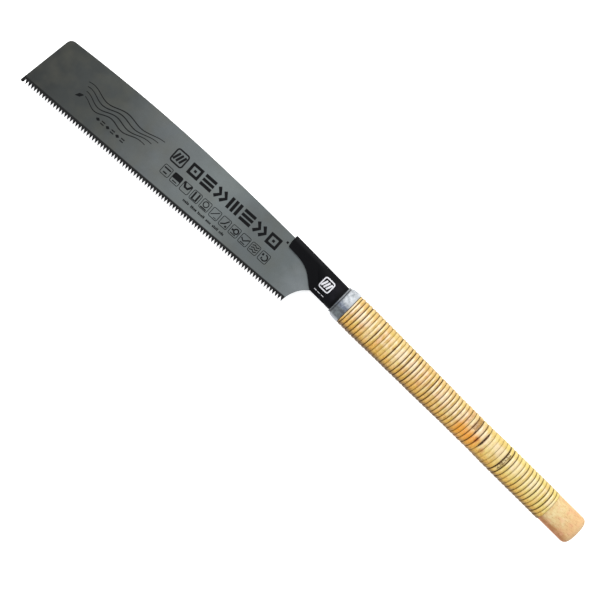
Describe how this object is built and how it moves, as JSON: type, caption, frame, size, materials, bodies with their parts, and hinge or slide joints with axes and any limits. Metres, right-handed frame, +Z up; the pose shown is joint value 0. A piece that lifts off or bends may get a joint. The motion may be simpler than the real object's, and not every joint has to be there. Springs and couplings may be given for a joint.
{
  "type": "hand saw",
  "caption": "Japanese-style pull saw: replaceable steel blade hooked in a folded black sheet holder, metal ferrule, long oval handle wrapped in cane with a bare wooden end.",
  "frame": {"origin": "centre of the bounding box in plan, at the height of the lowest point of the handle as the saw lies on its side", "axes": "+X along the handle towards the butt, blade at -X; +Y towards the blade's back, teeth towards -Y; +Z up, out of the printed side of the blade"},
  "size_m": [0.6321, 0.0764, 0.0224],
  "materials": {
    "blade_steel": "satin rolled steel with printed marks and dark hardened teeth",
    "holder_black": "semi-gloss black paint",
    "ferrule_metal": "dull galvanised, handled",
    "handle_wood": "pale, pored, lightly waxed, stained on one side",
    "pin_steel": "plain drawn steel",
    "cane": "glossy split cane skin"
  },
  "bodies": {
    "handle": {"blade_holder": "holder_black", "hook_pin": "holder_black", "ferrule": "ferrule_metal", "core_half_top": "handle_wood", "core_half_bottom": "handle_wood", "tang_pins": "pin_steel", "cane_wrap_front": "cane", "cane_wrap_rear": "cane"},
    "saw_blade": {"blade": "blade_steel"}
  },
  "joints": [
    {"name": "blade_swing", "type": "hinge", "parent": "handle", "child": "saw_blade", "pos_m": [0.00655, 0.01887, 0.01122], "axis": [0, 0, 1], "range_deg": [0, 45]}
  ]
}
